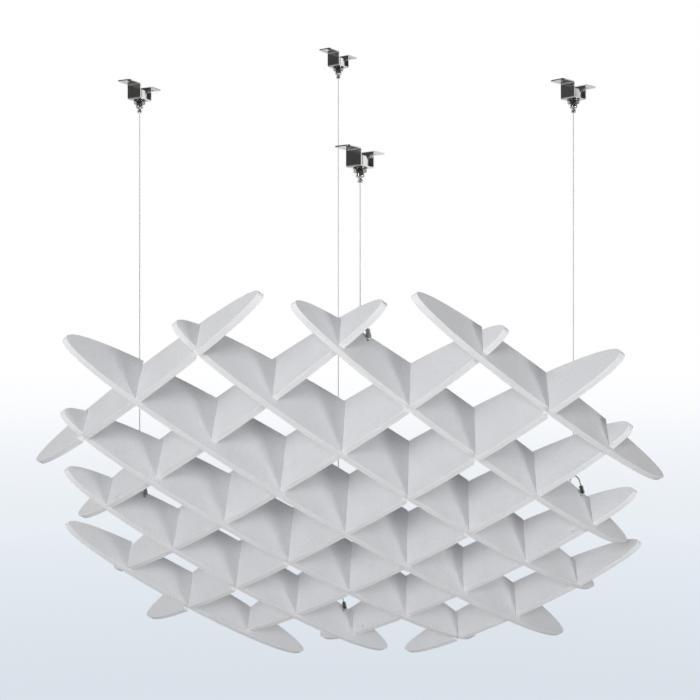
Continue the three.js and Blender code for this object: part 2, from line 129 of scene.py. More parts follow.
WASHER_TOP = -RUNNING_GAP
LOWER_NUT_TOP = WASHER_TOP - WASHER_THICKNESS - RUNNING_GAP
BODY_TOP = LOWER_NUT_TOP - NUT_HEIGHT - RUNNING_GAP
BODY_LOW = BODY_TOP - BODY_LENGTH
UPPER_NUT_LOW = STRIP + RUNNING_GAP
STUD_TOP = UPPER_NUT_LOW + LONG_NUT_HEIGHT + STUD_STAND_OUT
CAVITY_LOW = BODY_LOW + BODY_FLOOR
CAVITY_TOP = CAVITY_LOW + CONE_LENGTH + CONE_HEADROOM
HEAD_LOW = CAVITY_LOW + RUNNING_GAP
JAW_LOW = HEAD_LOW + PLUNGER_HEAD_LENGTH + RUNNING_GAP
KNOB_TOP = BODY_LOW - PLUNGER_TRAVEL - RUNNING_GAP

# -------------------------------------------------------------- materials

# Patterns are in the piece's own millimetres, reliefs in metres.
FIBRE_WIDTH, FIBRE_LENGTH, FIBRE_LAYERS = 0.45, 7.0, 0.35
FIBRE_TURNS = (12, 57, 101, 148)  # degrees in the plane of the sheet
LAYER_GRAIN = (0.02, 1.15, 0.02)
TUFT_GRAIN = (0.45, 1.4, 0.45)
BRUSH_GRAIN = (0.12, 6.0, 6.0)
FACE_RELIEF, CUT_RELIEF, FELT_RELIEF_STRENGTH = 0.00022, 0.00025, 0.6
STEEL_RELIEF = 0.000002
GRAIN_SHIFT = Vector((173, 61, 97))  # from each piece's pattern to the next


class Nodes:
    """Makes the nodes of one material or world and links them."""

    def __init__(self, owner):
        owner.use_nodes = True
        self.owner = owner
        self.tree = owner.node_tree

    def add(self, kind, links=None, **settings):
        node = self.tree.nodes.new(kind)
        for key, value in settings.items():
            setattr(node, key, value)
        self.fill(node, links or {})
        return node

    def fill(self, node, links):
        """Links or sets a node's sockets."""
        for key, value in links.items():
            if isinstance(value, bpy.types.NodeSocket):
                self.tree.links.new(value, node.inputs[key])
            else:
                node.inputs[key].default_value = value

    def math(self, operation, a, b=0.0, clamp=False):
        node = self.add("ShaderNodeMath", {0: a, 1: b}, operation=operation, use_clamp=clamp)
        return node.outputs[0]

    def total(self, first, *others):
        for other in others:
            first = self.math("ADD", first, other)
        return first

    def noise(self, vector, scale, detail=2.0, roughness=0.5, distortion=0.0):
        node = self.add("ShaderNodeTexNoise", {
            "Vector": vector, "Scale": scale, "Detail": detail,
            "Roughness": roughness, "Distortion": distortion,
        })
        return node.outputs["Fac"]

    def mapped(self, vector, scale, rotation=(0, 0, 0)):
        links = {"Vector": vector, "Scale": scale, "Rotation": rotation}
        return self.add("ShaderNodeMapping", links, vector_type="POINT").outputs[0]

    def span(self, value, low, high, to_low=0.0, to_high=1.0, kind="LINEAR"):
        """The value's range from low to high as another range, held at its ends."""
        node = self.add("ShaderNodeMapRange", {
            "Value": value, "From Min": low, "From Max": high,
            "To Min": to_low, "To Max": to_high,
        }, clamp=True, interpolation_type=kind)
        return node.outputs[0]

    def sway(self, noise, amount, reach=0.2):
        """A noise's middle range as plus or minus an amount."""
        return self.span(noise, 0.5 - reach, 0.5 + reach, -amount, amount)

    def shade(self, colour, factor):
        """A colour times a factor that varies over the surface."""
        links = {0: colour, "Scale": factor}
        return self.add("ShaderNodeVectorMath", links, operation="SCALE").outputs[0]

    def bump(self, height, distance, strength=1.0):
        links = {"Height": height, "Distance": distance, "Strength": strength}
        return self.add("ShaderNodeBump", links).outputs[0]


def material_nodes(name):
    """A new material's nodes and its shader."""
    n = Nodes(bpy.data.materials.new(name))
    return n, n.tree.nodes["Principled BSDF"]


def grain(n):
    """The piece's own millimetres, moved along for each piece."""
    return n.add("ShaderNodeAttribute", attribute_name="grain").outputs["Vector"]


def fibres(n, vector):
    """Fine strands that lie in the sheet in several directions."""
    scale = (1 / FIBRE_LENGTH, FIBRE_LAYERS, 1 / FIBRE_WIDTH)
    total = None
    for turn in FIBRE_TURNS:
        along = n.mapped(vector, scale, (0, math.radians(turn), 0))
        noise = n.noise(along, 1.0, detail=2.0, roughness=0.55, distortion=0.25)
        one = n.span(noise, 0.40, 0.72)
        total = one if total is None else n.math("MAXIMUM", total, one)
    return total


def felt_material(name, colour, cut):
    n, shader = material_nodes(name)
    p = grain(n)
    if cut:
        layers = n.noise(n.mapped(p, LAYER_GRAIN), 1.0, detail=3.0, roughness=0.6)
        tufts = n.noise(n.mapped(p, TUFT_GRAIN), 1.0, detail=3.0, roughness=0.6)
        level = n.total(n.span(layers, 0.3, 0.7, to_low=0.87, to_high=1.05), n.sway(tufts, 0.06))
        height = n.total(n.math("MULTIPLY", layers, 1.4), tufts)
        relief = CUT_RELIEF
    else:
        strands = fibres(n, p)
        mottle = n.noise(p, scale=0.22, detail=3.0, roughness=0.6)
        cloud = n.noise(p, scale=0.014, detail=2.0, roughness=0.5)
        speck = n.noise(p, scale=0.75, detail=2.0, roughness=0.65)
        level = n.total(
            n.span(strands, 0.0, 1.0, to_low=0.955, to_high=1.035),
            n.sway(mottle, 0.035),
            n.sway(cloud, 0.02),
            n.sway(speck, 0.04, reach=0.18),
        )
        height = n.total(strands, n.math("MULTIPLY", mottle, 1.6))
        relief = FACE_RELIEF
    n.fill(shader, {
        "Base Color": n.shade(colour, level),
        "Normal": n.bump(height, relief, FELT_RELIEF_STRENGTH),
        "Roughness": 0.96,
        "Specular IOR Level": 0.25,
        "Sheen Weight": 0.06,
        "Sheen Roughness": 0.55,
    })
    return n.owner


def steel_material(name, colour, roughness, brushed, spots, scale=1.0, metallic=1.0):
    """Plated steel: grain along x where brushed, cloudy plating, small dull spots."""
    n, shader = material_nodes(name)
    p = n.mapped(grain(n), (scale, scale, scale))
    brush = n.noise(n.mapped(p, BRUSH_GRAIN), 1.0, detail=3.0, roughness=0.6)
    cloud = n.noise(p, scale=0.16, detail=4.0, roughness=0.6, distortion=0.4)
    fine = n.noise(p, scale=3.2, detail=3.0, roughness=0.6)
    dull = n.span(n.noise(p, scale=0.55, detail=3.0, roughness=0.7), 0.57, 0.68)
    level = n.total(n.span(cloud, 0.3, 0.7, to_low=0.88, to_high=1.06), n.sway(brush, brushed))
    level = n.math("SUBTRACT", level, n.math("MULTIPLY", dull, spots))
    plating = n.span(cloud, 0.25, 0.75, to_low=roughness * 0.8, to_high=roughness * 1.3)
    rough = n.total(plating, n.math("MULTIPLY", dull, 0.12))
    height = n.total(brush, n.math("MULTIPLY", fine, 0.8))
    n.fill(shader, {
        "Base Color": n.shade(colour, level),
        "Roughness": n.math("ADD", rough, n.sway(fine, 0.03), clamp=True),
        "Normal": n.bump(height, STEEL_RELIEF),
        "Metallic": metallic,
    })
    return n.owner


FELT_FACE = felt_material("felt_face", (0.757, 0.762, 0.785), cut=False)
# the cut edges are coloured lighter than the faces: partly the cut's own look, partly painted
# light for edges that face the lamps
FELT_CUT_WITH_PAINTED_LIGHT = felt_material("felt_cut_with_painted_light", (0.87, 0.875, 0.89), cut=True)
BRIGHT = steel_material(
    "bright_plate", (0.74, 0.74, 0.73), roughness=0.11, brushed=0.03, spots=0.06
)
POLISHED = steel_material(
    "turned_steel", (0.82, 0.82, 0.81), roughness=0.13, brushed=0.02, spots=0.03, scale=2.0
)
DARK = steel_material(
    "dark_plate", (0.34, 0.34, 0.33), roughness=0.20, brushed=0.03, spots=0.04, scale=1.5
)
STRAND = steel_material(
    "strand_steel", (0.70, 0.71, 0.72), roughness=0.7, brushed=0.05, spots=0.06, scale=3.0,
    metallic=0.25,
)

# ---------------------------------------------------------------- helpers

made = 0


def piece(name, node, body, slot, place, verts, faces, materials, indices=None, sharp=SHARP):
    """A mesh in its group's frame that stands for a CAD node and moves with a body."""
    global made
    made += 1
    mesh = bpy.data.meshes.new(name)
    mesh.from_pydata([place @ (Vector(v) * MM) for v in verts], [], faces)
    for material in materials:
        mesh.materials.append(material)
    if indices:
        mesh.polygons.foreach_set("material_index", indices)
    shift = GRAIN_SHIFT * made
    attribute = mesh.attributes.new("grain", "FLOAT_VECTOR", "POINT")
    attribute.data.foreach_set("vector", [c for v in verts for c in Vector(v) + shift])
    mesh.validate()
    mesh.shade_smooth()
    mesh.set_sharp_from_angle(angle=math.radians(sharp))
    obj = bpy.data.objects.new(name, mesh)
    bpy.context.scene.collection.objects.link(obj)
    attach(obj, body)
    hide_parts(node)
    return obj


def loft(rings, wrap=False):
    """Joins rings of equal count; the ends are closed, or joined to each other."""
    count = len(rings[0])
    verts = [v for ring in rings for v in ring]
    faces = []
    for i in range(len(rings) if wrap else len(rings) - 1):
        a, b = i * count, ((i + 1) % len(rings)) * count
        for j in range(count):
            k = (j + 1) % count
            faces.append((a + j, a + k, b + k, b + j))
    if not wrap:
        faces.append(tuple(reversed(range(count))))
        last = (len(rings) - 1) * count
        faces.append(tuple(range(last, last + count)))
    return verts, faces


def outward(verts, faces):
    """Turns a closed mesh's faces round if it is inside out."""
    volume = 0.0
    points = [Vector(v) for v in verts]
    for face in faces:
        for i in range(1, len(face) - 1):
            volume += points[face[0]].dot(points[face[i]].cross(points[face[i + 1]]))
    if volume < 0:
        faces = [tuple(reversed(face)) for face in faces]
    return verts, faces


def circle(count):
    """Angles evenly round a turn."""
    return [2 * math.pi * i / count for i in range(count)]


def filleted(profile, radii):
    """A closed [x, z] outline with the corners named in radii rounded."""
    out = []
    for i, corner in enumerate(profile):
        at = Vector(corner)
        radius = radii.get(i, 0)
        if not radius:
            out.append(at)
            continue
        to_last = (Vector(profile[i - 1]) - at).normalized()
        to_next = (Vector(profile[(i + 1) % len(profile)]) - at).normalized()
        half = to_last.angle(to_next) / 2
        reach = radius / math.tan(half)
        centre = at + (to_last + to_next).normalized() * (radius / math.sin(half))
        start, end = at + to_last * reach - centre, at + to_next * reach - centre
        sweep = start.angle(end)
        steps = max(2, round(sweep / math.radians(ARC_STEP)))
        for k in range(steps + 1):
            t = k / steps
            arc = start * math.sin((1 - t) * sweep) + end * math.sin(t * sweep)
            out.append(centre + arc / math.sin(sweep))
    return out


def turned(profile, count=48, shape=None):
    """A closed [radius, height] outline turned about Z.
    shape may change a radius by its height and angle."""
    rings = []
    for radius, height in profile:
        ring = []
        for angle in circle(count):
            r = shape(radius, height, angle) if shape else radius
            ring.append((r * math.cos(angle), r * math.sin(angle), height))
        rings.append(ring)
    return outward(*loft(rings, wrap=True))


def thread(radius, depth, pitch, low, high):
    """A shape for turned(): a helical groove on the outside between two heights."""
    flank = 1.15  # over 1, so that the crests are flat

    def shape(r, height, angle):
        if abs(r - radius) > SAME or not low <= height <= high:
            return r
        phase = (height / pitch - angle / (2 * math.pi)) % 1
        fade = min(1.0, (height - low) / pitch, (high - height) / pitch)
        return r - depth * fade * min(1.0, flank * abs(2 * phase - 1))

    return shape


def hexagon(flats, end_radius, low, high):
    """A shape for turned(): a hexagon whose corners are turned off at both ends.
    end_radius is what the chamfers leave at the heights low and high."""
    slope = math.tan(math.radians(60))

    def shape(r, height, angle):
        if r < flats * 0.42:  # in the bore
            return r
        turn = angle % (math.pi / 3) - math.pi / 6
        side = flats / 2 / math.cos(turn)
        cone_low = end_radius + (height - low) * slope
        cone_high = end_radius + (high - height) * slope
        return min(side, cone_low, cone_high)

    return shape


def tube(points, radius, count=12, lay=None, shape=None):
    """A round bar along points, with frames carried along the path.
    With lay, the section is lobed like stranded wire and turns once in that length."""
    points = [Vector(p) for p in points]
    tangents = []
    for i in range(len(points)):
        into = points[i] - points[max(i - 1, 0)]
        out = points[min(i + 1, len(points) - 1)] - points[i]
        tangents.append((into.normalized() + out.normalized()).normalized())
    side = tangents[0].orthogonal().normalized()
    rings, run = [], 0.0
    for i, (at, along) in enumerate(zip(points, tangents)):
        side = (side - along * side.dot(along)).normalized()
        other = along.cross(side)
        if i:
            run += (at - points[i - 1]).length
        ring = []
        for j, angle in enumerate(circle(count)):
            r = radius
            if lay:
                r *= 1.0 if j % 2 else STRAND_VALLEY
                angle += 2 * math.pi * run / lay
            if shape:
                r = shape(at, angle, r)
            ring.append(at + side * (r * math.cos(angle)) + other * (r * math.sin(angle)))
        rings.append(ring)
    return outward(*loft(rings))


def straight(start, end, step):
    """Points from start up to, but not including, end."""
    start, end = Vector(start), Vector(end)
    count = max(1, round((end - start).length / step))
    return [start.lerp(end, i / count) for i in range(count)]


def inset(loop, distance):
    """A closed loop moved to its left."""
    out = []
    for i, at in enumerate(loop):
        before = (at - loop[i - 1]).normalized()
        after = (loop[(i + 1) % len(loop)] - at).normalized()
        n1, n2 = Vector((-before.y, before.x)), Vector((-after.y, after.x))
        out.append(at + (n1 + n2) * (distance / (1 + n1.dot(n2))))
    return out


def sheet_mesh(loops, thickness, rim, lift):
    """A flat sheet from an outline and its holes, with chamfered rims.
    lift turns (x, y, offset) into a point.
    Returns vertices, faces and a flag per face: 1 on the cut."""
    cap = [inset(loop, rim) for loop in loops]
    flat = [[Vector((p.x, p.y, 0)) for p in loop] for loop in cap]
    triangles = tessellate_polygon(flat)
    half = thickness / 2
    levels = [(cap, -half), (loops, -half + rim), (loops, half - rim), (cap, half)]
    verts = [lift(p.x, p.y, offset) for level, offset in levels for loop in level for p in loop]
    total = sum(len(loop) for loop in loops)
    faces, flags = [], []
    for a, b, c in triangles:
        faces += [(a, b, c), (c + 3 * total, b + 3 * total, a + 3 * total)]
        flags += [0, 0]
    start = 0
    for loop in loops:
        count = len(loop)
        for level in range(3):
            base = level * total + start
            for j in range(count):
                k = (j + 1) % count
                faces.append((base + j, base + k, base + total + k, base + total + j))
                flags.append(1)
        start += count
    return verts, faces, flags


def ring_loop(radius, cx, cy, count=24):
    """A round hole's outline, clockwise."""
    return [
        Vector((cx + radius * math.cos(-a), cy + radius * math.sin(-a))) for a in circle(count)
    ]


def clean(obj):
    """Makes all the faces point out."""
    bm = bmesh.new()
    bm.from_mesh(obj.data)
    bmesh.ops.recalc_face_normals(bm, faces=bm.faces)
    bm.to_mesh(obj.data)
    bm.free()
    obj.data.set_sharp_from_angle(angle=math.radians(SHARP))


# ------------------------------------------------------------------ frames

hang = (
    Matrix.Rotation(math.radians(LEAN), 4, "Y")
    @ Matrix.Rotation(math.radians(-TILT), 4, "X")
    @ Matrix.Rotation(math.radians(SPIN), 4, "Z")
)
hole_axis = (hang.to_3x3() @ Vector((0, 1, 0))).normalized()
up = Vector((0, 0, 1))
swung_up = (up - hole_axis * hole_axis.z).normalized()
link_up = swung_up * math.cos(LINK_LEAN) - hole_axis * math.sin(LINK_LEAN)
link_bar = hole_axis * math.cos(LINK_LEAN) + swung_up * math.sin(LINK_LEAN)
eye_side = Vector((-hole_axis.y, hole_axis.x, 0)).normalized()


def columns(x, y, z):
    """A rotation from its three axes."""
    return Matrix((x, y, z)).transposed().to_4x4()


class Fin:
    """One fin's size and edges: s along it from its middle, heights across."""

    def __init__(self, letter, i):
        outer = int(MIDDLE - 1 - abs(i + 1 - MIDDLE))
        self.name = f"fin_{letter}{i + 1}"
        self.place = (i + 1 - MIDDLE) * PITCH
        self.half_length = HALF_LENGTH[outer]
        self.half_depth = HALF_DEPTH[outer]
        self.rise = RISE[letter][i]
        self.slope = SLOPE[letter][i]

    def edge(self, s, side):
        """Height of the upper (side 1) or lower (side -1) edge at s along the fin."""
        reach = max(0.0, 1 - (s / self.half_length) ** 2)
        return self.rise + self.slope * s + side * self.half_depth * math.sqrt(reach)

    def reaches(self, s):
        return abs(s) + FELT / 2 + END_MARGIN < self.half_length


def lap_height(a, b):
    """The height where two crossing fins' slots meet."""
    low = max(a.edge(b.place, -1), b.edge(a.place, -1))
    high = min(a.edge(b.place, 1), b.edge(a.place, 1))
    return (low + high) / 2


def slotted_edge(fin, side, slots):
    """One edge of a fin from left to right, with the crossing fins' slots in it."""
    half = FELT / 2 + SLOT_PLAY
    angles = [math.pi * i / EDGE_STEPS for i in range(1, EDGE_STEPS)]
    stations = [(-fin.half_length * math.cos(angle), None) for angle in angles]
    stations += [(s, height) for s, height in slots]
    points = []
    for s, height in sorted(stations, key=lambda q: q[0]):
        if height is not None:
            points += [(s - half, fin.edge(s - half, side)), (s - half, height)]
            points += [(s + half, height), (s + half, fin.edge(s + half, side))]
        elif all(abs(q - s) > half + 1 for q, _ in slots):
            points.append((s, fin.edge(s, side)))
    return points


def fin_loops(fin, slot_side, slots, holes):
    """The fin's slotted outline, then its holes."""
    lower = slotted_edge(fin, -1, slots if slot_side < 0 else [])
    upper = slotted_edge(fin, 1, slots if slot_side > 0 else [])

    def tip(end):
        return end * fin.half_length, fin.edge(end * fin.half_length, 1)

    outline = [tip(-1), *lower, tip(1), *reversed(upper)]
    return [[Vector(p) for p in outline]] + [ring_loop(HOLE_RADIUS, x, y) for x, y in holes]


fins_a = [Fin("a", i) for i in range(FINS_PER_FAMILY)]
fins_b = [Fin("b", i) for i in range(FINS_PER_FAMILY)]
hung = [fins_a[1], fins_a[-2]]
spare = [fins_b[1], fins_b[-2]]
crossing_out = fins_b[1].place


def hole_in(fin, end, inset_from, side):
    """A hole's centre, inset from the crossing at the fin's left (-1) or right (1) end."""
    s = end * (abs(crossing_out) - inset_from)
    return s, fin.edge(s, side) - side * HOLE_TO_EDGE


# the fin that each wire holds, and which end of it
SUSPENSIONS = {"near": (0, -1), "right": (0, 1), "far": (1, 1), "left": (1, -1)}
# the link's two legs, along its hole from the middle of the felt
FRONT_LEG = -(FELT / 2 + RUNNING_GAP + SLEEVE_RADIUS)
BACK_LEG = (
    (FELT / 2 + RUNNING_GAP + LINK_WIRE_RADIUS) / math.cos(LINK_LEAN)
    + LINK_FELT_REACH * math.tan(LINK_LEAN)
)
CROWN = (FRONT_LEG + BACK_LEG) / 2
ARCH_LOW = LINK_HEIGHT - LINK_ARCH
BAR_LIFT = (
    HOLE_RADIUS - RUNNING_GAP
    - LINK_WIRE_RADIUS / math.cos(LINK_LEAN) - FELT / 2 * math.tan(LINK_LEAN)
)

frames = {}
turns = {key: Matrix.Rotation(math.radians(angle), 4, "Z") for key, angle in BRACKET_TURN.items()}
for key, (fin_index, end) in SUSPENSIONS.items():
    fin = hung[fin_index]
    x, z = hole_in(fin, end, HOLE_INSET[key], 1)
    link_at = hang @ Vector((x, fin.place, z)) + swung_up * BAR_LIFT
    crown_at = link_at + link_up * LINK_HEIGHT + link_bar * CROWN
    wire_at = crown_at - eye_side * (STRAND_GAP / 2)
    head_at = Vector((wire_at.x, wire_at.y, crown_at.z + DROP[key]))
    frames[key] = (link_at, wire_at, head_at)
flange_face = Vector((-PLATE_LENGTH / 2 - SCREW_SLOT_OUT / 3, 0, WEB_HEIGHT))
origin = turns["near"] @ flange_face + frames["near"][2]


def placed(at, rotation):
    """A group's place in the frame, whose origin is on the near bracket's ceiling face."""
    return Matrix.Translation((at - origin) * MM) @ rotation


# -------------------------------------------------------------------- fins

lattice = placed(Vector((0, 0, 0)), hang)
ALONG = {
    "a": columns(Vector((1, 0, 0)), Vector((0, 1, 0)), Vector((0, 0, 1))),
    "b": columns(Vector((0, 1, 0)), Vector((-1, 0, 0)), Vector((0, 0, 1))),
}
for letter, own, others in (("a", fins_a, fins_b), ("b", fins_b, fins_a)):
    slot_side = 1 if letter == "a" else -1
    for fin in own:
        slots = [
            (other.place, lap_height(fin, other) - slot_side * SLOT_PLAY / 2)
            for other in others
            if fin.reaches(other.place) and other.reaches(fin.place)
        ]
        holes = [
            hole_in(fin, end, HOLE_INSET[key], 1)
            for key, (i, end) in SUSPENSIONS.items()
            if hung[i] is fin
        ]
        if fin in spare:
            holes = [hole_in(fin, end, HOLE_INSET_SPARE, -1) for end in (-1, 1)]
        across = Vector((0, fin.place, 0)) if letter == "a" else Vector((fin.place, 0, 0))
        place = lattice @ Matrix.Translation(across * MM) @ ALONG[letter]
        loops = fin_loops(fin, slot_side, slots, holes)
        verts, faces, flags = sheet_mesh(loops, FELT, RIM, lambda s, h, t: (s, t, h))
        obj = piece(
            f"felt_{fin.name}", fin.name, "root", "felt", place,
            verts, faces, [FELT_FACE, FELT_CUT_WITH_PAINTED_LIGHT], flags,
        )
        clean(obj)

# ---------------------------------------------------------- screw links


def link_line():
    """Centre line of the bent bar: y along the hole, z up the link."""
    def at(y, z):
        return Vector((0, y, z))

    def corner(cy, start):
        sweep = [math.radians(start + 90 * i / 10) for i in range(11)]
        return [at(cy + c * math.cos(a), c + c * math.sin(a)) for a in sweep]

    def bulge(value):
        return math.copysign(abs(value) ** (2 / LINK_ARCH_POWER), value)

    def arch(a):
        return at(CROWN + half * bulge(math.cos(a)), ARCH_LOW + LINK_ARCH * bulge(math.sin(a)))

    c = LINK_CORNER
    half = (BACK_LEG - FRONT_LEG) / 2
    gap_top = LINK_GAP_LOW + LINK_GAP
    thread_top = gap_top + LINK_THREAD
    return [
        *straight(at(FRONT_LEG, LINK_GAP_LOW), at(FRONT_LEG, c), 0.2),
        *corner(FRONT_LEG + c, 180),
        *corner(BACK_LEG - c, 270),
        *[arch(math.pi * i / 36) for i in range(37)],
        *straight(at(FRONT_LEG, ARCH_LOW - 0.3), at(FRONT_LEG, thread_top), 0.5),
        *straight(at(FRONT_LEG, thread_top), at(FRONT_LEG, gap_top), 0.12),
        at(FRONT_LEG, gap_top),
    ]


def link_thread(at, angle, r):
    """Screw thread on both stubs of the opened leg."""
    above = LINK_GAP_LOW + LINK_GAP
    threaded = LINK_CORNER < at.z <= LINK_GAP_LOW or above <= at.z < above + LINK_THREAD
    if abs(at.y - FRONT_LEG) > 0.05 or not threaded:
        return r
    phase = (at.z / LINK_THREAD_PITCH + angle / (2 * math.pi)) % 1
    return r - LINK_THREAD_DEPTH * abs(2 * phase - 1)


def hex_profile(radius, bore, low, high, chamfer, sink, steps=5):
    """A closed outline for turned(): a nut whose bore is countersunk at both ends."""
    rise = [low + chamfer * i / steps for i in range(steps + 1)]
    fall = [high - chamfer * i / steps for i in range(steps, -1, -1)]
    inside = [(bore + sink, high), (bore, high - sink), (bore, low + sink), (bore + sink, low)]
    return [(radius, z) for z in rise + fall] + inside


def sleeve_mesh():
    """The hexagonal sleeve round the link's opened leg."""
    high = SLEEVE_LOW + SLEEVE_LENGTH
    bore = LINK_WIRE_RADIUS + RUNNING_GAP
    profile = hex_profile(SLEEVE_RADIUS, bore, SLEEVE_LOW, high, chamfer=0.35, sink=0.25)
    shape = hexagon(SLEEVE_FLATS, SLEEVE_FLATS / 2 * SLEEVE_FACE, SLEEVE_LOW, high)
    verts, faces = turned(profile, 48, shape)
    return [(x, y + FRONT_LEG, z) for x, y, z in verts], faces


link_frame = columns(link_bar.cross(link_up), link_bar, link_up)
for key, (link_at, wire_at, head_at) in frames.items():
    place = placed(link_at, link_frame)
    bar = tube(link_line(), LINK_WIRE_RADIUS, 20, shape=link_thread)
    piece(f"screw_link_{key}", f"link_{key}", "root", "bright_steel", place, *bar, [POLISHED])
    piece(
        f"link_sleeve_{key}", f"sleeve_{key}", f"sleeve_{key}", "dark_steel", place,
        *sleeve_mesh(), [DARK],
    )

# ------------------------------------------------------- wires and crimps


def wire_path(top):
    """Centre line of the wire: z = 0 at the link's crown, x towards the eye."""
    def at(x, z):
        return Vector((x, 0, z))

    middle = STRAND_GAP / 2
    sweep = [math.radians(160 + 220 * i / 32) for i in range(33)]
    eye = [at(middle + EYE_RADIUS * math.cos(a), EYE_RADIUS * math.sin(a)) for a in sweep]
    low, end = FERRULE_RISE, FERRULE_RISE + FERRULE_LENGTH - 1
    return [
        *straight(at(0, top), at(0, low), WIRE_STEP),
        *straight(at(0, low), eye[0], WIRE_STEP),
        *eye,
        *straight(eye[-1], at(STRAND_GAP, low), WIRE_STEP)[1:],
        *straight(at(STRAND_GAP, low), at(STRAND_GAP, end), WIRE_STEP),
        at(STRAND_GAP, end),
    ]


def crimp(steps=44, count=40):
    """An oval sleeve pressed in twice across its flat sides."""
    rings = []
    half = STRAND_GAP / 2
    radius = WIRE_RADIUS + RUNNING_GAP + FERRULE_WALL
    for i in range(steps + 1):
        t = i / steps
        z = FERRULE_RISE + FERRULE_LENGTH * t
        end = min(t, 1 - t) * FERRULE_LENGTH
        r = radius - FERRULE_ROUND * max(0.0, 1 - end / FERRULE_ROUND_REACH) ** 2
        dent = sum(
            math.exp(-(((t - c) * FERRULE_LENGTH) / CRIMP_HALF_WIDTH) ** 4) for c in CRIMPS_AT
        )
        ring = []
        for angle in circle(count):
            flat = min(1, abs(math.cos(angle)) * FERRULE_FLATTEN)
            wide = half * math.copysign(flat, math.cos(angle))
            x = half + wide + r * math.cos(angle) * (1 + CRIMP_BULGE * dent)
            y = r * math.sin(angle) * (1 - CRIMP_DEPTH * dent)
            ring.append((x, y, z))
        rings.append(ring)
    return outward(*loft(rings))


wire_turn = Matrix.Rotation(math.atan2(eye_side.y, eye_side.x), 4, "Z")
for key, (link_at, wire_at, head_at) in frames.items():
    place = placed(wire_at, wire_turn)
    rope = tube(wire_path(DROP[key] + STUD_TOP + WIRE_TAIL), WIRE_RADIUS, 12, lay=WIRE_LAY)
    piece(f"steel_wire_{key}", f"wire_{key}", "root", "wire", place, *rope, [STRAND], sharp=80)
    piece(
        f"crimp_{key}", f"ferrule_{key}", "root", "bright_steel", place,
        *crimp(), [POLISHED], sharp=45,
    )

# --------------------------------------------- grippers, nuts and washers


def cone_radius(z):
    """Radius of the clamping cone at a height."""
    return CONE_LOW + (CONE_HIGH - CONE_LOW) * (z - CAVITY_LOW) / CONE_LENGTH


def rounded_profile(corners, radii):
    """A filleted outline as plain pairs for turned()."""
    return [tuple(p) for p in filleted(corners, radii)]


def gripper_mesh():
    """The round body with its clamping cone and the threaded stud above it."""
    profile = rounded_profile(
        [
            (STUD_RADIUS, BODY_TOP), (BODY_RADIUS, BODY_TOP), (BODY_RADIUS, BODY_LOW + BODY_BEVEL),
            (BODY_RADIUS - BODY_BEVEL, BODY_LOW), (FLOOR_BORE, BODY_LOW), (FLOOR_BORE, CAVITY_LOW),
            (CONE_LOW, CAVITY_LOW), (CONE_HIGH, CAVITY_LOW + CONE_LENGTH), (CONE_HIGH, CAVITY_TOP),
            (STUD_BORE, CAVITY_TOP), (STUD_BORE, STUD_TOP), (STUD_RADIUS - 0.5, STUD_TOP),
        ],
        {1: 0.6, 2: 2.0, 3: 1.2, 4: 0.3},
    )
    steps = round((STUD_TOP - BODY_TOP) / STUD_PITCH * 8)  # eight to a turn of the thread
    for i in range(1, steps):
        profile.append((STUD_RADIUS, STUD_TOP - (STUD_TOP - BODY_TOP) * i / steps))
    shape = thread(STUD_RADIUS, STUD_THREAD_DEPTH, STUD_PITCH, BODY_TOP, STUD_TOP)
    return turned(profile, 48, shape)


def jaw_mesh():
    """The tapered ring that grips the wire in the cone."""
    top = JAW_LOW + JAW_LENGTH
    profile = rounded_profile(
        [
            (JAW_BORE, JAW_LOW), (cone_radius(JAW_LOW) - RUNNING_GAP, JAW_LOW),
            (cone_radius(top) - RUNNING_GAP, top), (JAW_BORE, top),
        ],
        {1: 0.3, 2: 0.3},
    )
    return turned(profile, 40)


def plunger_mesh():
    """The knurled release knob, its stem and the head that lifts the jaw."""
    knob_low = KNOB_TOP - KNOB_LENGTH
    grip_low = knob_low + KNOB_BEVEL  # the knob's straight side
    head = CONE_LOW - RUNNING_GAP
    rounded = rounded_profile(
        [
            (JAW_BORE, HEAD_LOW + PLUNGER_HEAD_LENGTH), (JAW_BORE, knob_low),
            (KNOB_RADIUS - KNOB_BEVEL, knob_low), (KNOB_RADIUS, grip_low),
            (KNOB_RADIUS, KNOB_TOP), (PLUNGER_STEM, KNOB_TOP), (PLUNGER_STEM, HEAD_LOW),
            (head, HEAD_LOW), (head, HEAD_LOW + PLUNGER_HEAD_LENGTH),
        ],
        {1: 0.2, 2: 0.8, 3: 0.5, 4: 0.5, 7: 0.2, 8: 0.2},
    )
    profile = []
    for radius, height in rounded:
        profile.append((radius, height))
        if abs(radius - KNOB_RADIUS) < SAME and abs(height - grip_low) < 0.8:
            low, high = height + 0.4, KNOB_TOP - 0.9
            profile += [(KNOB_RADIUS, low + (high - low) * i / 6) for i in range(7)]

    def knurl(r, height, angle):
        inside = min(height - knob_low - KNOB_BEVEL - 0.5, KNOB_TOP - 0.8 - height)
        if abs(r - KNOB_RADIUS) > SAME or inside <= 0:
            return r
        ridge = 0.5 + 0.5 * math.cos(KNURL_RIDGES * angle)
        return r - KNURL_DEPTH * min(1.0, inside / KNURL_RUN_OUT) * ridge

    return turned(profile, 96, knurl)


def nut_mesh(low, height):
    high = low + height
    bore = STUD_RADIUS + RUNNING_GAP
    profile = hex_profile(NUT_FLATS / math.sqrt(3), bore, low, high, chamfer=1.0, sink=0.5)
    return turned(profile, 72, hexagon(NUT_FLATS, NUT_FLATS / 2 * NUT_FACE, low, high))


def washer_mesh():
    low = WASHER_TOP - WASHER_THICKNESS
    bore = STUD_RADIUS + RUNNING_GAP
    profile = rounded_profile(
        [(bore, WASHER_TOP), (bore, low), (WASHER_RADIUS, low), (WASHER_RADIUS, WASHER_TOP)],
        {0: 0.2, 1: 0.2, 2: 0.3, 3: 0.6},
    )
    return turned(profile, 64)


# ---------------------------------------------------------------- brackets

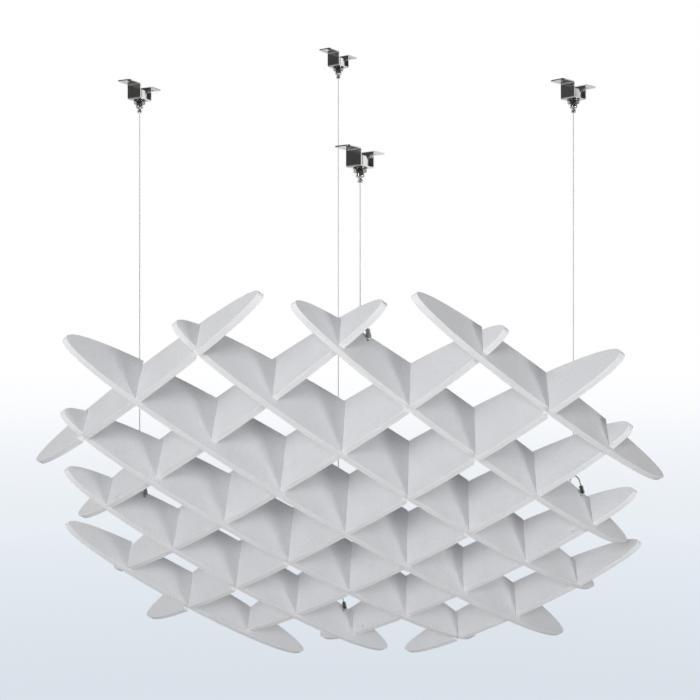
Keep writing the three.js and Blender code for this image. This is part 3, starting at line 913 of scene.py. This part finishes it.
QUARTER = BEND_RADIUS * math.pi / 2
PLATE_FLAT = (PLATE_LENGTH - STRIP) / 2 - BEND_RADIUS
WEB_FLAT = WEB_HEIGHT - STRIP - 2 * BEND_RADIUS
WEB_START = PLATE_FLAT + QUARTER
WEB_END = WEB_START + WEB_FLAT
FLANGE_START = WEB_END + QUARTER
WEB_MIDDLE = (PLATE_LENGTH - STRIP) / 2
TIP = FLANGE_START + PLATE_LENGTH / 2 + FLANGE_LENGTH - WEB_MIDDLE - BEND_RADIUS


def bent(u, w, offset):
    """Where a point of the flat strip goes: u along it from the middle, w across."""
    sign = 1 if u >= 0 else -1
    u = abs(u)
    half = STRIP / 2
    if u <= PLATE_FLAT:
        x, z, nx, nz = u, half, 0.0, 1.0
    elif u <= WEB_START:
        a = (u - PLATE_FLAT) / BEND_RADIUS
        nx, nz = -math.sin(a), math.cos(a)
        x, z = PLATE_FLAT - BEND_RADIUS * nx, half + BEND_RADIUS - BEND_RADIUS * nz
    elif u <= WEB_END:
        x, z, nx, nz = WEB_MIDDLE, half + BEND_RADIUS + u - WEB_START, -1.0, 0.0
    elif u <= FLANGE_START:
        a = (u - WEB_END) / BEND_RADIUS
        nx, nz = -math.cos(a), math.sin(a)
        x = WEB_MIDDLE + BEND_RADIUS + BEND_RADIUS * nx
        z = WEB_HEIGHT - half - BEND_RADIUS + BEND_RADIUS * nz
    else:
        x, z, nx, nz = WEB_MIDDLE + BEND_RADIUS + u - FLANGE_START, WEB_HEIGHT - half, 0.0, 1.0
    return Vector((sign * (x + nx * offset), w, z + nz * offset))


def stadium_loop(length, radius, cx, steps=8):
    """Clockwise rounded slot along x; length is between its end centres."""
    out = []
    for end in (1, -1):
        for i in range(steps + 1):
            a = math.radians(90 * end - 180 * i / steps)
            x = cx + end * length / 2 + radius * math.cos(a)
            out.append(Vector((x, radius * math.sin(a))))
    return out


def bracket_mesh():
    """The flat strip, triangulated and cut across at its bends, then bent and thickened."""
    half = STRIP_WIDTH / 2
    corners = [(TIP, -half), (TIP, half), (-TIP, half), (-TIP, -half)]
    outline = filleted(corners, {i: TIP_ROUND for i in range(4)})
    slot_at = FLANGE_START + SCREW_SLOT_OUT + PLATE_LENGTH / 2 - WEB_MIDDLE - BEND_RADIUS
    slot_length, slot_radius = SCREW_SLOT_LENGTH - SCREW_SLOT_WIDTH, SCREW_SLOT_WIDTH / 2
    loops = [outline, ring_loop(STUD_RADIUS + RUNNING_GAP, 0, 0, 48)]
    loops += [stadium_loop(slot_length, slot_radius, end * slot_at) for end in (-1, 1)]
    flat = [[Vector((p.x, p.y, 0)) for p in loop] for loop in loops]
    bm = bmesh.new()
    points = [bm.verts.new(p) for loop in flat for p in loop]
    for triangle in tessellate_polygon(flat):
        bm.faces.new([points[i] for i in triangle])
    cuts = [
        start + QUARTER * i / BEND_STEPS
        for start in (PLATE_FLAT, WEB_END)
        for i in range(BEND_STEPS + 1)
    ]
    for cut in [c * end for c in cuts for end in (-1, 1)]:
        geometry = [*bm.verts, *bm.edges, *bm.faces]
        bmesh.ops.bisect_plane(bm, geom=geometry, plane_co=(cut, 0, 0), plane_no=(1, 0, 0))
    bmesh.ops.dissolve_limit(
        bm, angle_limit=0.01, verts=bm.verts, edges=[], use_dissolve_boundaries=False
    )
    bmesh.ops.triangulate(bm, faces=bm.faces)
    bm.normal_update()
    bm.verts.index_update()
    total = len(bm.verts)
    sides = (-STRIP / 2, STRIP / 2)
    verts = [bent(v.co.x, v.co.y, offset) for offset in sides for v in bm.verts]
    faces = []
    for face in bm.faces:
        ids = [v.index for v in face.verts]
        if face.normal.z < 0:
            ids.reverse()
        faces += [tuple(reversed(ids)), tuple(i + total for i in ids)]
    for e in bm.edges:
        if e.is_boundary:
            a, b = (v.index for v in e.verts)
            faces.append((a, b, b + total, a + total))
    bm.free()
    return verts, faces


for key, (link_at, wire_at, head_at) in frames.items():
    place = placed(head_at, turns[key])
    body, plunger = f"adjuster_{key}", f"plunger_{key}"
    bracket = piece(
        f"hat_bracket_{key}", f"bracket_{key}", body, "bright_steel", place,
        *bracket_mesh(), [BRIGHT],
    )
    clean(bracket)
    rounding = bracket.modifiers.new("rounding", "BEVEL")
    rounding.width, rounding.segments = STRIP_EDGE_ROUND * MM, 2
    rounding.limit_method, rounding.angle_limit = "ANGLE", math.radians(50)
    level = bracket.modifiers.new("level", "WEIGHTED_NORMAL")
    level.keep_sharp = True

    lower_nut = nut_mesh(LOWER_NUT_TOP - NUT_HEIGHT, NUT_HEIGHT)
    upper_nut = nut_mesh(UPPER_NUT_LOW, LONG_NUT_HEIGHT)
    for name, node, carrier, slot, mesh, material in (
        ("flat_washer", "washer", body, "dark_steel", washer_mesh(), DARK),
        ("hex_nut_below", "lower_nut", body, "dark_steel", lower_nut, DARK),
        ("hex_nut_above", "upper_nut", body, "bright_steel", upper_nut, POLISHED),
        ("gripper_barrel", "gripper", body, "bright_steel", gripper_mesh(), POLISHED),
        ("clamp_jaw", "jaw", plunger, "dark_steel", jaw_mesh(), DARK),
        ("release_knob", "plunger", plunger, "bright_steel", plunger_mesh(), POLISHED),
    ):
        piece(f"{name}_{key}", f"{node}_{key}", carrier, slot, place, *mesh, [material])

# ------------------------------------------------------- camera and lights

# Metres from here on, in the frame's own axes.
CAMERA_TO_LATTICE = Vector((-0.0050, 2.2080, -0.2904))  # the photograph's own view, level
SENSOR_WIDTH, LENS = 36, 60.44  # millimetres
PANEL_MIDDLE = Vector((-0.01, 0.29, -0.62))
LAMP_DISTANCE = 4.0
LAMPS = (
    # name, direction from the panel, size, watts, mirrored by the metal
    ("key", (0.765, -0.62, -0.171), 1.1, 50, True),
    ("front", (-0.25, -0.95, 0.2), 1.4, 61, False),
    ("front_left", (-0.4, -0.9, 0.07), 1.4, 26, False),
    ("left_glint", (-0.62, -0.76, 0.22), 1.0, 9, True),
    ("back", (0.1, 0.95, 0.0), 1.6, 66, False),
)

camera = bpy.data.objects.new("camera", bpy.data.cameras.new("camera"))
bpy.context.scene.collection.objects.link(camera)
camera.location = -origin * MM - CAMERA_TO_LATTICE
camera.rotation_euler = (math.radians(90), 0, 0)
camera.data.sensor_width, camera.data.lens = SENSOR_WIDTH, LENS
camera.data.clip_start, camera.data.clip_end = 0.01, 100
bpy.context.scene.camera = camera

for name, toward, size, power, mirrored in LAMPS:
    lamp = bpy.data.lights.new(name, "AREA")
    lamp.shape, lamp.size, lamp.energy = "DISK", size, power
    obj = bpy.data.objects.new(name, lamp)
    bpy.context.scene.collection.objects.link(obj)
    toward = Vector(toward).normalized()
    obj.location = PANEL_MIDDLE + toward * LAMP_DISTANCE
    obj.rotation_euler = toward.to_track_quat("Z", "Y").to_euler()
    obj.visible_glossy = mirrored

n = Nodes(bpy.data.worlds.new("studio"))
bpy.context.scene.world = n.owner
direction = n.add("ShaderNodeTexCoord").outputs["Generated"]
axes = n.add("ShaderNodeSeparateXYZ", {0: direction}).outputs
# what lights the felt: an even room, stronger from the left
ambient = n.span(axes["X"], -0.25, 0.25, 0.36, 0.14, kind="SMOOTHSTEP")
# what the metal mirrors: a bright room behind the object, a nearly dark one before it,
# and a dim floor
behind = n.math(
    "MULTIPLY",
    n.span(axes["Y"], -0.15, 0.35, 0.06, 1.0, kind="SMOOTHSTEP"),
    n.span(axes["Z"], -0.35, 0.0, 0.55, 1.0, kind="SMOOTHSTEP"),
)
below = n.span(axes["Z"], -0.5, 0.1, 0.24, 0.02, kind="SMOOTHSTEP")
glossy = n.add("ShaderNodeLightPath").outputs["Is Glossy Ray"]
strength = n.add(
    "ShaderNodeMix",
    {"Factor": glossy, "A": ambient, "B": n.math("MAXIMUM", behind, below)},
    data_type="FLOAT",
).outputs["Result"]
n.fill(n.tree.nodes["Background"], {"Color": (1, 1, 1, 1), "Strength": strength})

# ----------------------------------------------------- floor and backdrop

FLOOR, FLAT_RADIUS, SWEEP, WALL_TOP = -2.3, 5.0, 2.0, 7.0
FADE_TOP = -0.45  # the backdrop is white from this height up
FADE = (  # pale blue-grey floor that fades to white up the wall
    (0.0, (0.815, 0.88, 0.955)), (0.3, (0.80, 0.85, 0.905)), (0.48, (0.82, 0.86, 0.895)),
    (0.67, (0.885, 0.912, 0.947)), (0.87, (0.973, 0.981, 0.998)), (1.0, (1, 1, 1)),
)
LIT_SHARE, LIT_HEIGHT = 0.2, 0.7  # how much of the floor's colour the lamps give, and up to where

profile = [(FLAT_RADIUS * i / 6, FLOOR) for i in range(1, 7)]
profile += [
    (FLAT_RADIUS + SWEEP * math.sin(a), FLOOR + SWEEP * (1 - math.cos(a)))
    for a in (math.radians(90 * i / 24) for i in range(1, 25))
]
profile.append((FLAT_RADIUS + SWEEP, WALL_TOP))
rings = [
    [(PANEL_MIDDLE.x + r * math.cos(a), PANEL_MIDDLE.y + r * math.sin(a), z) for a in circle(96)]
    for r, z in profile
]
verts, faces = loft(rings)
faces.pop()  # open at the top
faces = [tuple(reversed(face)) for face in faces]
mesh = bpy.data.meshes.new("studio_floor")
mesh.from_pydata(verts, [], faces)
mesh.shade_smooth()
floor = bpy.data.objects.new("studio_floor", mesh)
bpy.context.scene.collection.objects.link(floor)
floor.visible_diffuse = floor.visible_glossy = False
floor.visible_transmission = floor.visible_shadow = False

n, shader = material_nodes("studio_floor")
position = n.add("ShaderNodeNewGeometry").outputs["Position"]
height = n.add("ShaderNodeSeparateXYZ", {0: position}).outputs["Z"]
ramp = n.add("ShaderNodeValToRGB", {"Fac": n.span(height, FLOOR, FADE_TOP)})
for i, (at, colour) in enumerate(FADE):
    element = ramp.color_ramp.elements[i] if i < 2 else ramp.color_ramp.elements.new(at)
    element.position, element.color = at, (*colour, 1)
glow = n.add("ShaderNodeEmission", {"Color": ramp.outputs["Color"], "Strength": 1.0})
matt = n.add("ShaderNodeBsdfDiffuse", {"Color": ramp.outputs["Color"]})
rays = n.add("ShaderNodeLightPath").outputs
seen = n.math("MAXIMUM", rays["Is Camera Ray"], rays["Is Glossy Ray"])
seen = n.math("MAXIMUM", seen, rays["Is Transmission Ray"])
glow_share = n.span(height, FLOOR, FLOOR + LIT_HEIGHT, 1 - LIT_SHARE, 1.0)
share = n.math("MULTIPLY", seen, glow_share)
mix = n.add("ShaderNodeMixShader", {0: share, 1: matt.outputs[0], 2: glow.outputs[0]})
n.fill(n.tree.nodes["Material Output"], {"Surface": mix.outputs[0]})
n.tree.nodes.remove(shader)
mesh.materials.append(n.owner)

bpy.context.scene.view_settings.view_transform = "Standard"
